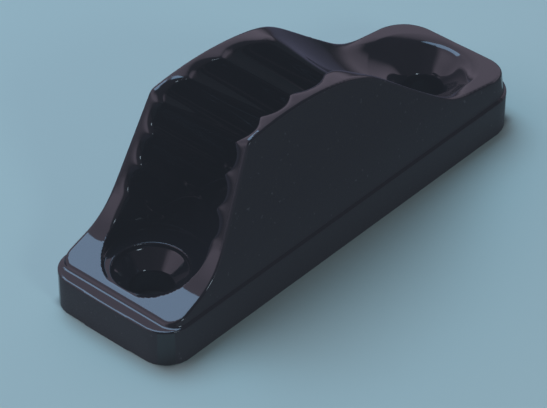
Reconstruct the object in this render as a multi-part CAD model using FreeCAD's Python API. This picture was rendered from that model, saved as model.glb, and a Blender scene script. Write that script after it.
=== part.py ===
"""Fluted jam cleat for 3 to 6 mm line, moulded in one piece of nylon.

Frame: X runs along the cleat from the low entry end to the far end, Y across it,
Z up from the deck face. The origin is the middle of the deck face. The shapes are
drawn with x measured from the entry end, and the finished body is moved to the
origin last. All sizes are in millimetres.
"""
import FreeCAD, Part
import math
import os
from FreeCAD import Vector

# ---- driving dimensions ----------------------------------------------------
LENGTH = 67.0             # overall, along X
WIDTH = 20.0              # overall, across Y
HEIGHT = 24.0             # deck to the top of the crown
PLINTH_H = 5.1            # upright foot that runs round the whole body
ENTRY_CORNER_R = 3.7      # foot corners seen from above, entry end
FAR_CORNER_R = 5.0        # foot corners seen from above, far end
ENTRY_BOW = 0.3           # how far the entry end face bulges outwards
DRAFT = 0.094             # lean of the side walls above the foot, mm per mm
LEDGE = 0.4               # step where the walls start on the foot
SHELF_X = 1.9             # the walls start this far in from the entry end
SHELF_CORNER_R = 2.0      # and have these corners there
RIM_R = 0.35              # rounding of the rim's outer edge

HOLE_SPACING = 51.0       # between the two screw hole centres, equally far from the ends
HOLE_R = 2.65             # clearance for a 5 mm countersunk screw
SINK_R = 4.7              # mouth of the 90 degree countersink
SINK_LIP = 0.6            # the entry countersink starts this far below its floor
ENTRY_FLOOR_Z = 5.8       # seat level of the entry end's screw
FAR_FLOOR_Z = 6.7         # seat level of the far end's screw
POCKET_X = 9.15           # centre of the round pocket at the entry end
POCKET_R = 6.6            # its radius at the floor
POCKET_DRAFT = 0.03       # its widening with height, mm per mm

GROOVE_TOP = 5.7          # half width of the rope groove at its start, not counting flutes
GROOVE_NARROW = 4.7       # the same at crown level where the groove is narrowest
GROOVE_FOOT = 1.2         # half width of its bottom where it is narrowest
GROOVE_START_X = 10.0     # the groove starts here with upright walls
GROOVE_NARROW_X = 40.0    # and is fully V-shaped from here on
GROOVE_FLOOR_Z = 6.6      # where its walls meet the rounded bottom
GROOVE_BELLY = 0.6        # depth of the rounded bottom
FLUTES = 6                # round flutes cut into each groove wall
FLUTE_PITCH = 5.74        # along X
FLUTE_DEPTH = 1.1         # of the flute nearest the far end, beyond the ridges
FLUTE_DEEPENING = 0.1     # each flute towards the entry end is this much deeper
LAST_FLUTE_X = 29.5       # where the last flute's axis crosses the crown level

CORE_DEPTH = 3.0          # hollows in the deck face that keep the moulding thin
CORE_WALL = 2.6           # wall left round them
CORE_RIB = 2.0            # ribs left between them
CORES = 3
CORE_R = 1.2              # their corners
BOSS_R = 7.2              # solid round each screw hole

# Far scoop, ring by ring from its floor up: height, x of its nearest point, radius.
SCOOP = ((FAR_FLOOR_Z, 54.3, SINK_R),
         (9.4, 48.4, 7.7),
         (16.0, 40.6, 9.7),
         (24.5, 31.0, 9.2))

BLEND_PULL = 0.4          # how strongly the rim's curves hold their end directions
SINK_HEADROOM = 4.0       # open height above each countersink

TOP_Z = HEIGHT + 6.0      # safely above the body
HOLES_X = ((LENGTH - HOLE_SPACING) / 2, (LENGTH + HOLE_SPACING) / 2)


def rounded(outline, height, entry_r, far_r):
    """Upright solid on a flat outline, with its four upright edges rounded."""
    solid = Part.Face(outline).extrude(Vector(0, 0, height))
    for at_entry, radius in ((True, entry_r), (False, far_r)):
        edges = [e for e in solid.Edges
                 if abs(e.tangentAt(e.FirstParameter).z) > 0.9
                 and (e.CenterOfMass.x < LENGTH / 2) == at_entry]
        solid = solid.makeFillet(radius, edges)
    return solid.Solids[0]


def foot():
    """Upright foot of constant height, with a bowed entry end and round corners."""
    half = WIDTH / 2
    entry_right = Vector(ENTRY_BOW, -half, 0)
    entry_left = Vector(ENTRY_BOW, half, 0)
    bow = Part.Arc(entry_left, Vector(0, 0, 0), entry_right).toShape()
    sides = Part.makePolygon([entry_right, Vector(LENGTH, -half, 0),
                              Vector(LENGTH, half, 0), entry_left])
    return rounded(Part.Wire([bow] + sides.Edges), PLINTH_H, ENTRY_CORNER_R, FAR_CORNER_R)


def walls():
    """Leaning body above the foot, still a plain block at its top."""
    half = WIDTH / 2 - LEDGE
    end = LENGTH - LEDGE
    outline = Part.makePolygon([Vector(SHELF_X, -half, PLINTH_H), Vector(end, -half, PLINTH_H),
                                Vector(end, half, PLINTH_H), Vector(SHELF_X, half, PLINTH_H),
                                Vector(SHELF_X, -half, PLINTH_H)])
    upright = rounded(outline, 1.0, SHELF_CORNER_R, FAR_CORNER_R - LEDGE)
    low = min(upright.Faces, key=lambda face: face.CenterOfMass.z).OuterWire
    rise = TOP_Z - PLINTH_H
    high = low.makeOffset2D(-DRAFT * rise)
    high.translate(Vector(0, 0, rise))
    return Part.makeLoft([low, high], True, True)


def blend(start, start_way, end, end_way):
    """Curve that leaves one point and reaches the next along the given ways."""
    reach = start.distanceToPoint(end) * BLEND_PULL
    first = Vector(start_way)
    last = Vector(end_way)
    curve = Part.BezierCurve()
    curve.setPoles([start, start + first.normalize() * reach,
                    end - last.normalize() * reach, end])
    return curve.toShape()


def rim_curve():
    """Side view of the rim, from the entry end to the far end, as one smooth run."""
    shelf_start = Vector(0.0, 0, 4.75)
    shelf_end = Vector(6.0, 0, 7.0)
    rise_start = Vector(12.4, 0, 14.4)
    rise_end = Vector(16.5, 0, 22.8)
    crown_start = Vector(17.55, 0, 23.5)
    crown_top = Vector(24.4, 0, HEIGHT)
    crown_end = Vector(34.0, 0, 22.85)
    fall_start = Vector(41.8, 0, 18.7)
    fall_end = Vector(48.0, 0, 13.9)
    tail_start = Vector(57.5, 0, 9.0)
    tail_end = Vector(LENGTH + 1.0, 0, 7.3)

    crown = Part.Arc(crown_start, crown_top, crown_end).toShape()
    onto_crown = crown.tangentAt(crown.FirstParameter)
    off_crown = crown.tangentAt(crown.LastParameter)
    rise = rise_end - rise_start
    fall = fall_end - fall_start
    return [Part.makeLine(shelf_start, shelf_end),
            blend(shelf_end, shelf_end - shelf_start, rise_start, rise),
            Part.makeLine(rise_start, rise_end),
            blend(rise_end, rise, crown_start, onto_crown),
            crown,
            blend(crown_end, off_crown, fall_start, fall),
            Part.makeLine(fall_start, fall_end),
            blend(fall_end, fall, tail_start, tail_end - tail_start),
            Part.makeLine(tail_start, tail_end)]


def above_rim():
    """Everything above the rim's side view, as one block across the body."""
    run = rim_curve()
    start = run[0].Vertexes[0].Point
    end = run[-1].Vertexes[1].Point
    sky = TOP_Z + 1.0
    lid = Part.makePolygon([end, Vector(end.x, 0, sky), Vector(start.x, 0, sky), start])
    face = Part.Face(Part.Wire(run + lid.Edges))
    face.translate(Vector(0, -WIDTH, 0))
    return face.extrude(Vector(0, 2 * WIDTH, 0))


def blank():
    """Solid outer shape: foot and walls, cut to the rim, with its outer edge rounded."""
    top = walls().cut(above_rim())
    top = top.makeFillet(RIM_R, [e for e in top.Edges if on_rim_side(e)])
    return foot().fuse(top)


def on_rim_side(edge):
    """True for an edge between the rim's top and the outer side walls."""
    middle = edge.valueAt((edge.FirstParameter + edge.LastParameter) / 2)
    way = edge.tangentAt((edge.FirstParameter + edge.LastParameter) / 2)
    crosses = abs(way.y) > 0.99 and 3.0 < middle.x < LENGTH - 3.0
    upright = abs(way.z) > 0.95
    return middle.z > PLINTH_H + 0.1 and not crosses and not upright


def groove_half_width(x, z):
    """Half width of the groove between ridges: upright at the entry, a V further in."""
    along = min(1.0, (x - GROOVE_START_X) / (GROOVE_NARROW_X - GROOVE_START_X))
    up = (z - GROOVE_FLOOR_Z) / (HEIGHT - GROOVE_FLOOR_Z)
    top = GROOVE_TOP + along * (GROOVE_NARROW - GROOVE_TOP)
    foot_width = GROOVE_TOP + along * (GROOVE_FOOT - GROOVE_TOP)
    return foot_width + up * (top - foot_width)


def groove_section(x):
    """Closed cross-section of the rope groove at one place along the cleat."""
    low = groove_half_width(x, GROOVE_FLOOR_Z)
    high = groove_half_width(x, TOP_Z)
    corners = [Vector(x, -low, GROOVE_FLOOR_Z), Vector(x, -high, TOP_Z),
               Vector(x, high, TOP_Z), Vector(x, low, GROOVE_FLOOR_Z)]
    belly = Part.Arc(corners[3], Vector(x, 0, GROOVE_FLOOR_Z - GROOVE_BELLY), corners[0])
    lines = [Part.makeLine(corners[i], corners[i + 1]) for i in range(3)]
    return Part.Wire(lines + [belly.toShape()])


def groove():
    """Rope groove: tapers from the entry pocket to a V, then runs out at the far end."""
    tapered = Part.makeLoft([groove_section(GROOVE_START_X), groove_section(GROOVE_NARROW_X)],
                            True, True)
    straight = Part.Face(groove_section(GROOVE_NARROW_X))
    straight = straight.extrude(Vector(HOLES_X[1] - GROOVE_NARROW_X, 0, 0))
    return [tapered, straight]


def flute(level, depth):
    """Round cut that slants down one groove wall at 45 degrees and ends in the floor.

    Its axis runs where x + z equals the level. Its radius is the one at which
    neighbouring flutes just meet in a ridge.
    """
    half_pitch = FLUTE_PITCH / math.sqrt(2) / 2
    radius = (half_pitch ** 2 + depth ** 2) / (2 * depth)
    high_x = max(level - HEIGHT, GROOVE_START_X)
    ends = []
    for x in (high_x, level - GROOVE_FLOOR_Z):
        z = level - x
        ends.append(Vector(x, groove_half_width(x, z) + depth - radius, z))
    way = (ends[1] - ends[0]).normalize()
    overrun = 1.5 * FLUTE_PITCH
    length = ends[0].distanceToPoint(ends[1]) + 2 * overrun
    bore = Part.makeCylinder(radius, length, ends[0] - way * overrun, way)
    above_floor = Part.makeBox(LENGTH, WIDTH, 2 * TOP_Z,
                               Vector(0, -WIDTH / 2, GROOVE_FLOOR_Z))
    return bore.common(above_floor)


def flutes():
    """Round flutes in both groove walls."""
    cuts = []
    for i in range(FLUTES):
        level = LAST_FLUTE_X - i * FLUTE_PITCH + HEIGHT
        cuts.append(flute(level, FLUTE_DEPTH + i * FLUTE_DEEPENING))
    return cuts + [cut.mirror(Vector(0, 0, 0), Vector(0, 1, 0)) for cut in cuts]


def entry_pocket():
    """Round pocket round the entry end's screw, open upwards."""
    rise = TOP_Z - ENTRY_FLOOR_Z
    return Part.makeCone(POCKET_R, POCKET_R + POCKET_DRAFT * rise, rise,
                         Vector(POCKET_X, 0, ENTRY_FLOOR_Z))


def scoop():
    """Hollow that leads the rope down the far slope and ends round the far screw."""
    rings = [Part.Wire(Part.makeCircle(radius, Vector(near_x + radius, 0, z)))
             for z, near_x, radius in SCOOP]
    return Part.makeLoft(rings, True, False)


def screw_hole(x, mouth_z):
    """Through hole with a 90 degree countersink, and room for the screw's way in."""
    sink_h = SINK_R - HOLE_R
    bore = Part.makeCylinder(HOLE_R, mouth_z + 1.0, Vector(x, 0, -1.0))
    sink = Part.makeCone(HOLE_R, SINK_R, sink_h, Vector(x, 0, mouth_z - sink_h))
    way_in = Part.makeCylinder(SINK_R, SINK_HEADROOM, Vector(x, 0, mouth_z))
    return [bore, sink, way_in]


def deck_hollows():
    """Blind hollows in the deck face, between the screw bosses, parted by ribs."""
    start = HOLES_X[0] + BOSS_R
    end = HOLES_X[1] - BOSS_R
    length = (end - start - (CORES - 1) * CORE_RIB) / CORES
    width = WIDTH - 2 * CORE_WALL
    cuts = []
    for i in range(CORES):
        corner = Vector(start + i * (length + CORE_RIB), -width / 2, -1.0)
        block = Part.makeBox(length, width, CORE_DEPTH + 1.0, corner)
        upright = [e for e in block.Edges if abs(e.tangentAt(0).z) > 0.9]
        cuts.append(block.makeFillet(CORE_R, upright))
    return cuts


def cleat_body():
    """The whole moulding as one solid."""
    cutters = groove() + flutes() + [entry_pocket(), scoop()]
    cutters += screw_hole(HOLES_X[0], ENTRY_FLOOR_Z - SINK_LIP)
    cutters += screw_hole(HOLES_X[1], FAR_FLOOR_Z)
    body = blank()
    for cutter in cutters + deck_hollows():
        body = body.cut(cutter)
    body.translate(Vector(-LENGTH / 2, 0, 0))
    return body.Solids[0]


os.makedirs("parts", exist_ok=True)
cleat_body().exportStep("parts/cleat_body.step")
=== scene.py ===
"""Fluted jam cleat in black nylon, lying on a pale table under a soft studio light."""
import math

import bpy
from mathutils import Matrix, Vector


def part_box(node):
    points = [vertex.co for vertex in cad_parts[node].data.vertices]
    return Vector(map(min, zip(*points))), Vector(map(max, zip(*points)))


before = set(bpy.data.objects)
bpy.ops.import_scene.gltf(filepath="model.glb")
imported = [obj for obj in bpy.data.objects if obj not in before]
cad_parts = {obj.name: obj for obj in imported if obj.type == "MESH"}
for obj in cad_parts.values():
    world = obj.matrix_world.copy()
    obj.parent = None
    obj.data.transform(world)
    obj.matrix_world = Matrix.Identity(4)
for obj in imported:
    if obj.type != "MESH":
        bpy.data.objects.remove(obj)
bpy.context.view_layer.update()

MM = 0.001
FALLING = (1.0, 0.0)       # a smooth change from all to nothing

# ---- the moulding's shape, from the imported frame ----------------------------
LOW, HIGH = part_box("cleat_body")
CENTRE = (LOW + HIGH) / 2
HALF_LENGTH = (HIGH.x - LOW.x) / 2
HALF_WIDTH = (HIGH.y - LOW.y) / 2
FOOT_H = 5.1 * MM          # top of the upright foot
LEDGE = 0.4 * MM           # step where the leaning walls start on it
DRAFT = 0.094              # lean of the walls above the foot
ENTRY_HOLE_X = -25.5 * MM  # screw holes, both on the centre line
FAR_HOLE_X = 25.5 * MM

# Most pairs of values below say where a smooth change starts and where it ends.

# ---- where the grained outer skin is ----------------------------------------
SKIN = (0.45 * MM, 0.585 * MM)         # depth in from the outside
SKIN_TILT = (0.35, 0.6)                # upward part of the surface's direction

# ---- painted shade: the far corner of the entry pocket's floor, made almost unshiny so it stays dark ---
CORNER_START = (4.9 * MM, 5.2 * MM)    # its near edge, from the hole's axis
CORNER_END = (8.2 * MM, 8.7 * MM)      # its far edge, from the hole's axis
CORNER_TOP = (6.6 * MM, 8.0 * MM)      # height above the deck face
CORNER_SIDE = (-1.0 * MM, 0.5 * MM)    # along X from the hole: the groove's side only

# ---- the nylon --------------------------------------------------------------
NYLON_IOR = 1.53
POLISHED_BLACK = (0.006, 0.006, 0.007, 1.0)
GRAINED_BLACK = (0.0280, 0.0235, 0.0260, 1.0)
SPECK_COLOUR = (0.15, 0.14, 0.15, 1.0)     # of pale dust caught in the grain
SPECK_STRENGTH = 0.5
SPECK_LEVEL = (0.68, 0.74)             # only the peaks of the noise show, so specks are sparse
POLISH_ROUGHNESS = (0.04, 0.08)        # least and most, as are the next two
FLOW_ROUGHNESS = (0.0, 0.03)           # added where the melt flowed
GRAIN_ROUGHNESS = (0.5, 0.66)
NOISE_RANGE = (0.3, 0.7)               # where most values of the cloud and grain noise lie
FLOW_RANGE = (0.35, 0.75)
GRAIN_DETAIL = 0.65                    # how much finer bumps show in the grain
POLISH_SHINE = 0.5
GRAIN_SHINE = 0.28
# shine in the entry pocket's far corner, kept low as painted shade
PAINTED_SHADE_SHINE = 0.02
CLOUD_SIZE = 6.0 * MM                  # patches of slightly different polish
FLOW_SIZE = 1.6 * MM
GRAIN_SIZE = 0.16 * MM
SPECK_SIZE = 0.5 * MM
BUMP_HEIGHT = 0.05 * MM
GRAIN_RELIEF = 0.6                     # shares of the bump height
FLOW_RELIEF = 0.1

# ---- softening of moulded edges ---------------------------------------------
VOXEL = 0.14 * MM                      # of the even mesh laid over the moulding
SMOOTHING = 0.5
SMOOTH_STEPS = 6
GROOVE_ROUNDING_STEPS = 50             # extra smoothing inside the groove and on its rim
GROOVE_SIDE = (0.6 * MM, 1.2 * MM)     # its zone starts this far in from the outer walls
GROOVE_FLOOR = (8.0 * MM, 10.5 * MM)   # and at this height
BOWL_ROUNDING_STEPS = 150              # extra smoothing in the bowl round the far screw hole
BOWL_EDGE = (6.0 * MM, 7.3 * MM)       # its zone ends this far from the hole's axis
BOWL_FLOOR = (4.8 * MM, 5.6 * MM)      # and starts at this height, above the bore

# ---- camera ------------------------------------------------------------------
VIEW_AZIMUTH = -48.5       # degrees round the object, 0 looks along +Y
VIEW_ELEVATION = 38.25
VIEW_DISTANCE = 346.8 * MM
VIEW_LENS = 186.7          # mm, on the sensor below
SENSOR_WIDTH = 36.0
NEAR_CLIP = 0.01
AIM = Vector((-6.0, -2.1, 5.0)) * MM

# ---- floor ------------------------------------------------------------------
FLOOR_HALF_SIZE = 3.0                  # metres
FLOOR_COLOUR = (0.50, 0.685, 0.595, 1.0)
FLOOR_ROUGHNESS = 0.8
FLOOR_SHINE = 0.2
# Painted shade and painted reflection on the floor: dark under the foot, where the screw holes look
# through, and dark or dim far off where the polish reflects the floor.
SHADE_AND_REFLECTION_FLOOR = (0.06, 0.08, 0.07, 1.0)   # under the foot, and far in front as seen in the polish
# Painted reflection: the floor's tone far behind, as the polish shows it.
PAINTED_REFLECTION_FLOOR = (0.17, 0.15, 0.18, 1.0)    # far behind, as seen in the polish
UNDER_FOOT_SHADE_FADE = 2 * MM
FAR_OFF = (6 * MM, 25 * MM)            # how far off the polish stops seeing the pale floor
BEHIND = (-20 * MM, 20 * MM)           # across Y, from in front of the object to behind it

# ---- light ------------------------------------------------------------------
PANEL_DISTANCE = 0.45                  # metres from the object, as are the panels' sizes
MAIN_WAY = Vector((0.10, 0.42, 0.90))  # from the object to the panel
MAIN_SIZE = (0.25, 0.33)
MAIN_RADIANCE = 4.2
MAIN_COLOUR = (0.38, 0.66, 1.0)
SIDE_WAY = Vector((-0.25, -0.83, 0.48))
SIDE_SIZE = (0.10, 0.10)
SIDE_RADIANCE = 7.0
SIDE_COLOUR = (0.62, 0.8, 0.95)
ROOM_COLOUR = (1.1, 0.93, 1.2, 1.0)
# The room's brightness depends on each part of the direction looked in. The first pair
# is that part, and the second is the brightness or its factor at the two ends.
ROOM_HEIGHT = ((0.0, 0.22), (0.08, 0.62))          # Z: dark at the horizon
ROOM_FAR_SIDE = ((0.0, 0.35), (0.12, 1.0))         # Y: dark in front
ROOM_FAR_END = ((0.75, 0.92), (0.0, 1.0))          # X: but not at the far end
ROOM_ENTRY_END = ((-0.85, -0.35), (1.5, 1.0))      # X: brighter at the entry end
ROOM_FAR_HALF = ((0.45, 0.62), (1.0, 0.82))        # X: a little dimmer towards the far end
BLACK_LEVEL = (-0.011, -0.0135, -0.018)    # below 0, so that black comes out slightly lifted


def value_node(tree, operation, *inputs):
    """One math node; each input is a number or another node's output."""
    node = tree.nodes.new("ShaderNodeMath")
    node.operation = operation
    for i, given in enumerate(inputs):
        if isinstance(given, (int, float)):
            node.inputs[i].default_value = given
        else:
            tree.links.new(given, node.inputs[i])
    return node.outputs[0]


def ramp(tree, given, span, values=(0.0, 1.0)):
    """Smooth change from one value to the other while the given value crosses the span."""
    node = tree.nodes.new("ShaderNodeMapRange")
    node.interpolation_type = "SMOOTHSTEP"
    tree.links.new(given, node.inputs["Value"])
    node.inputs["From Min"].default_value, node.inputs["From Max"].default_value = span
    node.inputs["To Min"].default_value, node.inputs["To Max"].default_value = values
    return node.outputs["Result"]


def split(tree, vector):
    """The X, Y and Z parts of a place or a direction."""
    node = tree.nodes.new("ShaderNodeSeparateXYZ")
    tree.links.new(vector, node.inputs[0])
    return node.outputs


def noise(tree, where, size, detail=2.0, rough=0.5):
    """Soft random values, with bumps of about the given size in metres."""
    node = tree.nodes.new("ShaderNodeTexNoise")
    tree.links.new(where, node.inputs["Vector"])
    node.inputs["Scale"].default_value = 1.0 / size
    node.inputs["Detail"].default_value = detail
    node.inputs["Roughness"].default_value = rough
    return node.outputs["Fac"]


def blend_values(tree, mask, first, second):
    """First where the mask is 0, second where it is 1."""
    node = tree.nodes.new("ShaderNodeMix")
    node.data_type = "FLOAT"
    for socket, given in (("Factor", mask), ("A", first), ("B", second)):
        if isinstance(given, (int, float)):
            node.inputs[socket].default_value = given
        else:
            tree.links.new(given, node.inputs[socket])
    return node.outputs["Result"]


def blend_colours(tree, mask, first, second):
    """First where the mask is 0, second where it is 1; each a colour or a node's output."""
    node = tree.nodes.new("ShaderNodeMix")
    node.data_type = "RGBA"
    tree.links.new(mask, node.inputs["Factor"])
    sockets = [socket for socket in node.inputs if socket.type == "RGBA"]
    for socket, given in zip(sockets, (first, second)):
        if isinstance(given, tuple):
            socket.default_value = given
        else:
            tree.links.new(given, socket)
    return [socket for socket in node.outputs if socket.type == "RGBA"][0]


def outer_skin_mask(tree, position, normal):
    """1 on the grained outside of the foot and walls, 0 on every polished surface."""
    place = split(tree, position)
    above_foot = value_node(tree, "SUBTRACT", place["Z"], FOOT_H)
    lean = value_node(tree, "MAXIMUM", value_node(tree, "MULTIPLY", above_foot, DRAFT), 0.0)
    on_walls = value_node(tree, "GREATER_THAN", above_foot, 0.0)
    inset = value_node(tree, "ADD", lean, value_node(tree, "MULTIPLY", on_walls, LEDGE))
    depths = []
    for axis, half in (("X", HALF_LENGTH), ("Y", HALF_WIDTH)):
        reach = value_node(tree, "ADD", value_node(tree, "ABSOLUTE", place[axis]), inset)
        depths.append(value_node(tree, "SUBTRACT", half, reach))
    depth = value_node(tree, "MINIMUM", depths[0], depths[1])
    near_skin = ramp(tree, depth, SKIN, FALLING)
    upright = ramp(tree, split(tree, normal)["Z"], SKIN_TILT, FALLING)
    return value_node(tree, "MULTIPLY", near_skin, upright)


def distance_from_hole(tree, place, hole_x):
    """How far a place is from the upright axis of the screw hole at hole_x."""
    along = value_node(tree, "SUBTRACT", place["X"], hole_x)
    along_squared = value_node(tree, "MULTIPLY", along, along)
    across_squared = value_node(tree, "MULTIPLY", place["Y"], place["Y"])
    return value_node(tree, "SQRT", value_node(tree, "ADD", along_squared, across_squared))


def pocket_painted_shade_mask(tree, position):
    """1 in the far corner of the entry pocket's floor, where painted shade turns the shine down; 0
    elsewhere.
    """
    place = split(tree, position)
    along = value_node(tree, "SUBTRACT", place["X"], ENTRY_HOLE_X)
    radius = distance_from_hole(tree, place, ENTRY_HOLE_X)
    mask = ramp(tree, radius, CORNER_START)
    mask = value_node(tree, "MULTIPLY", mask, ramp(tree, radius, CORNER_END, FALLING))
    mask = value_node(tree, "MULTIPLY", mask, ramp(tree, place["Z"], CORNER_TOP, FALLING))
    return value_node(tree, "MULTIPLY", mask, ramp(tree, along, CORNER_SIDE))


def moulded_nylon():
    """Black nylon as it leaves the mould: grained outer walls, polished top and groove."""
    material = bpy.data.materials.new("moulded_nylon")
    material.use_nodes = True
    tree = material.node_tree
    shader = tree.nodes["Principled BSDF"]
    where = tree.nodes.new("ShaderNodeTexCoord").outputs["Object"]
    geometry = tree.nodes.new("ShaderNodeNewGeometry")
    grained = outer_skin_mask(tree, where, geometry.outputs["Normal"])

    cloud = noise(tree, where, CLOUD_SIZE, detail=3.0)
    flow = noise(tree, where, FLOW_SIZE, detail=4.0)
    grain = noise(tree, where, GRAIN_SIZE, detail=3.0, rough=GRAIN_DETAIL)
    specks = ramp(tree, noise(tree, where, SPECK_SIZE), SPECK_LEVEL)

    polish = ramp(tree, cloud, NOISE_RANGE, POLISH_ROUGHNESS)
    polish = value_node(tree, "ADD", polish, ramp(tree, flow, FLOW_RANGE, FLOW_ROUGHNESS))
    matte = ramp(tree, grain, NOISE_RANGE, GRAIN_ROUGHNESS)
    tree.links.new(blend_values(tree, grained, polish, matte), shader.inputs["Roughness"])

    tone = blend_colours(tree, grained, POLISHED_BLACK, GRAINED_BLACK)
    dusty = value_node(tree, "MULTIPLY", value_node(tree, "MULTIPLY", specks, grained), SPECK_STRENGTH)
    tree.links.new(blend_colours(tree, dusty, tone, SPECK_COLOUR), shader.inputs["Base Color"])

    relief = value_node(tree, "MULTIPLY", grain, blend_values(tree, grained, 0.0, GRAIN_RELIEF))
    swell = value_node(tree, "MULTIPLY", flow, FLOW_RELIEF)
    bump = tree.nodes.new("ShaderNodeBump")
    bump.inputs["Strength"].default_value = 1.0
    bump.inputs["Distance"].default_value = BUMP_HEIGHT
    tree.links.new(value_node(tree, "ADD", relief, swell), bump.inputs["Height"])
    tree.links.new(bump.outputs["Normal"], shader.inputs["Normal"])
    shader.inputs["IOR"].default_value = NYLON_IOR
    shine = blend_values(tree, grained, POLISH_SHINE, GRAIN_SHINE)
    # Painted shade: the entry pocket's far floor corner gets almost no shine, so it stays dark.
    shine = blend_values(tree, pocket_painted_shade_mask(tree, where), shine, PAINTED_SHADE_SHINE)
    tree.links.new(shine, shader.inputs["Specular IOR Level"])
    return material


def soften(piece):
    """Gives the moulding its small edge radii, without touching its own mesh."""
    remesh = piece.modifiers.new("even_mesh", "REMESH")
    remesh.mode = "VOXEL"
    remesh.voxel_size = VOXEL
    remesh.use_smooth_shade = True
    rounding = piece.modifiers.new("mould_rounding", "SMOOTH")
    rounding.factor = SMOOTHING
    rounding.iterations = SMOOTH_STEPS


def blurred(tree, position, weight, steps):
    """Each point of the skin drawn towards its neighbours' mean place, step by step."""
    blur = tree.nodes.new("GeometryNodeBlurAttribute")
    blur.data_type = "FLOAT_VECTOR"
    blur.inputs["Iterations"].default_value = steps
    tree.links.new(weight, blur.inputs["Weight"])
    given = [socket for socket in blur.inputs if socket.type == "VECTOR" and socket.enabled]
    tree.links.new(position, given[0])
    results = [socket for socket in blur.outputs if socket.type == "VECTOR" and socket.enabled]
    return results[0]


def round_inner_edges(piece):
    """Extra rounding for the rim's inner edge, the ridges and the far screw's bowl."""
    tree = bpy.data.node_groups.new("round_inner_edges", "GeometryNodeTree")
    tree.interface.new_socket("Geometry", in_out="INPUT", socket_type="NodeSocketGeometry")
    tree.interface.new_socket("Geometry", in_out="OUTPUT", socket_type="NodeSocketGeometry")
    start = tree.nodes.new("NodeGroupInput")
    end = tree.nodes.new("NodeGroupOutput")
    position = tree.nodes.new("GeometryNodeInputPosition").outputs[0]
    place = split(tree, position)
    above_foot = value_node(tree, "SUBTRACT", place["Z"], FOOT_H)
    lean = value_node(tree, "MULTIPLY", above_foot, DRAFT)
    reach = value_node(tree, "ADD", value_node(tree, "ABSOLUTE", place["Y"]), lean)
    depth = value_node(tree, "SUBTRACT", HALF_WIDTH - LEDGE, reach)
    inside = ramp(tree, depth, GROOVE_SIDE)
    high = ramp(tree, place["Z"], GROOVE_FLOOR)
    groove = value_node(tree, "MULTIPLY", inside, high)

    near_bowl = ramp(tree, distance_from_hole(tree, place, FAR_HOLE_X), BOWL_EDGE, FALLING)
    off_bore = ramp(tree, place["Z"], BOWL_FLOOR)
    bowl = value_node(tree, "MULTIPLY", near_bowl, off_bore)

    soft = blurred(tree, position, groove, GROOVE_ROUNDING_STEPS)
    softer = blurred(tree, soft, bowl, BOWL_ROUNDING_STEPS)
    move = tree.nodes.new("GeometryNodeSetPosition")
    tree.links.new(start.outputs[0], move.inputs["Geometry"])
    tree.links.new(softer, move.inputs["Position"])
    tree.links.new(move.outputs[0], end.inputs[0])
    piece.modifiers.new("inner_rounding", "NODES").node_group = tree


def pale_floor():
    """Pale floor with painted shade under the foot, and a painted reflection: dimmer far off where the
    polish reflects it.
    """
    material = bpy.data.materials.new("pale_floor")
    material.use_nodes = True
    tree = material.node_tree
    shader = tree.nodes["Principled BSDF"]
    place = split(tree, tree.nodes.new("ShaderNodeTexCoord").outputs["Object"])
    # Painted shade: the floor is dark under the foot.
    painted_shade = 1.0
    for axis, half in (("X", HALF_LENGTH), ("Y", HALF_WIDTH)):
        off_axis = value_node(tree, "ABSOLUTE", place[axis])
        under = ramp(tree, off_axis, (half - UNDER_FOOT_SHADE_FADE, half), FALLING)
        painted_shade = value_node(tree, "MULTIPLY", painted_shade, under)
    seen = blend_colours(tree, painted_shade, FLOOR_COLOUR, SHADE_AND_REFLECTION_FLOOR)

    # Painted reflection: far off, and only in the polish, the floor shows dark in front and dim
    # behind.
    path = tree.nodes.new("ShaderNodeLightPath")
    far_off = ramp(tree, path.outputs["Ray Length"], FAR_OFF)
    painted_reflection_mask = value_node(tree, "MULTIPLY", path.outputs["Is Glossy Ray"], far_off)
    painted_reflection = blend_colours(tree, ramp(tree, place["Y"], BEHIND), SHADE_AND_REFLECTION_FLOOR, PAINTED_REFLECTION_FLOOR)
    tree.links.new(blend_colours(tree, painted_reflection_mask, seen, painted_reflection), shader.inputs["Base Color"])
    shader.inputs["Roughness"].default_value = FLOOR_ROUGHNESS
    shader.inputs["Specular IOR Level"].default_value = FLOOR_SHINE
    return material


def table_top():
    """Flat square floor that the foot stands on."""
    far = FLOOR_HALF_SIZE
    mesh = bpy.data.meshes.new("floor")
    corners = [(-far, -far, 0), (far, -far, 0), (far, far, 0), (-far, far, 0)]
    mesh.from_pydata(corners, [], [(0, 1, 2, 3)])
    mesh.materials.append(pale_floor())
    floor = bpy.data.objects.new("floor", mesh)
    bpy.context.scene.collection.objects.link(floor)


def panel(name, shape, way, size, radiance, colour):
    """Soft flat light that shines at the object from one direction."""
    data = bpy.data.lights.new(name, "AREA")
    data.shape = shape
    data.size, data.size_y = size
    data.energy = radiance * math.pi * size[0] * size[1]
    data.color = colour
    lamp = bpy.data.objects.new(name, data)
    lamp.location = CENTRE + way.normalized() * PANEL_DISTANCE
    lamp.rotation_euler = way.to_track_quat("Z", "Y").to_euler()
    bpy.context.scene.collection.objects.link(lamp)


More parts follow.
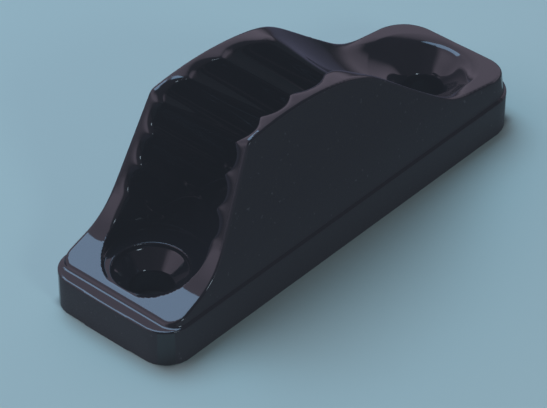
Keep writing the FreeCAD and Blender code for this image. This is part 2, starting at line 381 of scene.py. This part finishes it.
def surroundings():
    """Soft room light: dark low down and in front, brighter overhead and behind."""
    world = bpy.data.worlds.new("room")
    bpy.context.scene.world = world
    world.use_nodes = True
    tree = world.node_tree
    background = tree.nodes["Background"]
    way = split(tree, tree.nodes.new("ShaderNodeTexCoord").outputs["Generated"])
    far_side = ramp(tree, way["Y"], *ROOM_FAR_SIDE)
    far_end = ramp(tree, way["X"], *ROOM_FAR_END)
    strength = value_node(tree, "MAXIMUM", far_side, far_end)
    for axis, change in (("Z", ROOM_HEIGHT), ("X", ROOM_ENTRY_END), ("X", ROOM_FAR_HALF)):
        strength = value_node(tree, "MULTIPLY", strength, ramp(tree, way[axis], *change))
    tree.links.new(strength, background.inputs["Strength"])
    background.inputs["Color"].default_value = ROOM_COLOUR


def camera():
    """Long lens from the low entry end, above and to the right of it."""
    azimuth = math.radians(VIEW_AZIMUTH)
    elevation = math.radians(VIEW_ELEVATION)
    back = Vector((math.sin(azimuth) * math.cos(elevation),
                   -math.cos(azimuth) * math.cos(elevation),
                   math.sin(elevation)))
    data = bpy.data.cameras.new("camera")
    data.lens = VIEW_LENS
    data.sensor_width = SENSOR_WIDTH
    data.clip_start = NEAR_CLIP
    eye = bpy.data.objects.new("camera", data)
    eye.location = AIM + back * VIEW_DISTANCE
    eye.rotation_euler = back.to_track_quat("Z", "Y").to_euler()
    bpy.context.scene.collection.objects.link(eye)
    bpy.context.scene.camera = eye


def grading():
    """Plain colours, with the slightly lifted blacks of a printed picture."""
    look = bpy.context.scene.view_settings
    look.view_transform = "Standard"
    look.use_curve_mapping = True
    look.curve_mapping.black_level = BLACK_LEVEL
    look.curve_mapping.update()


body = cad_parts["cleat_body"]
body.data.materials.clear()
body.data.materials.append(moulded_nylon())
soften(body)
round_inner_edges(body)
table_top()
panel("main_panel", "RECTANGLE", MAIN_WAY, MAIN_SIZE, MAIN_RADIANCE, MAIN_COLOUR)
panel("side_panel", "ELLIPSE", SIDE_WAY, SIDE_SIZE, SIDE_RADIANCE, SIDE_COLOUR)
surroundings()
camera()
grading()
